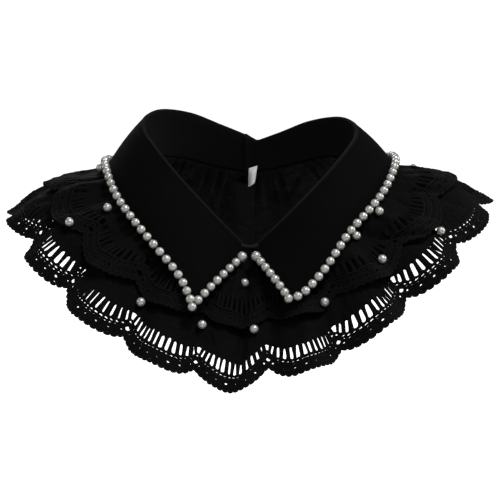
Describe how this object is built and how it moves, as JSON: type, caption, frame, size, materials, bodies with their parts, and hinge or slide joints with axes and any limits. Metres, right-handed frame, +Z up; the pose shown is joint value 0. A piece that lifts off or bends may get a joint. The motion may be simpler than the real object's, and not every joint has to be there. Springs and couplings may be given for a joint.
{
  "type": "detachable lace collar",
  "caption": "Detachable black collar in hollow worn form: pointed turn-down collar edged with pearls over gathered tiers with scalloped lace hems, open at the back.",
  "frame": {"origin": "middle of the neck opening, level with the neck seam at the wearer's sides, where the neck and shoulders hold the collar up", "axes": "the wearer faces -Y; +X is the wearer's left; +Z is up along the neck"},
  "size_m": [0.3567, 0.2748, 0.1656],
  "materials": {
    "collar_cloth": "smooth black cotton sateen, soft sheen",
    "tier_cloth": "matt black cotton with crochet-look lace",
    "pearl": "white faux pearl, glossy",
    "label_tape": "white satin tape, blank",
    "button": "black, glossy"
  },
  "bodies": {
    "root": {"collar_left": "collar_cloth", "collar_right": "collar_cloth", "front_tack": "collar_cloth", "lower_tier_left": "tier_cloth", "lower_tier_right": "tier_cloth", "upper_tier_left": "tier_cloth", "upper_tier_right": "tier_cloth", "back_placket": "tier_cloth", "pearl_edge_left": "pearl", "pearl_edge_right": "pearl", "label": "label_tape", "back_button": "button", "back_loop": "button", "pearl_01": "pearl", "pearl_02": "pearl", "pearl_03": "pearl", "pearl_04": "pearl", "pearl_05": "pearl", "pearl_06": "pearl", "pearl_07": "pearl", "pearl_08": "pearl", "pearl_09": "pearl", "pearl_10": "pearl", "pearl_11": "pearl", "pearl_12": "pearl", "pearl_13": "pearl", "pearl_14": "pearl", "pearl_15": "pearl", "pearl_16": "pearl", "pearl_17": "pearl"}
  },
  "joints": []
}
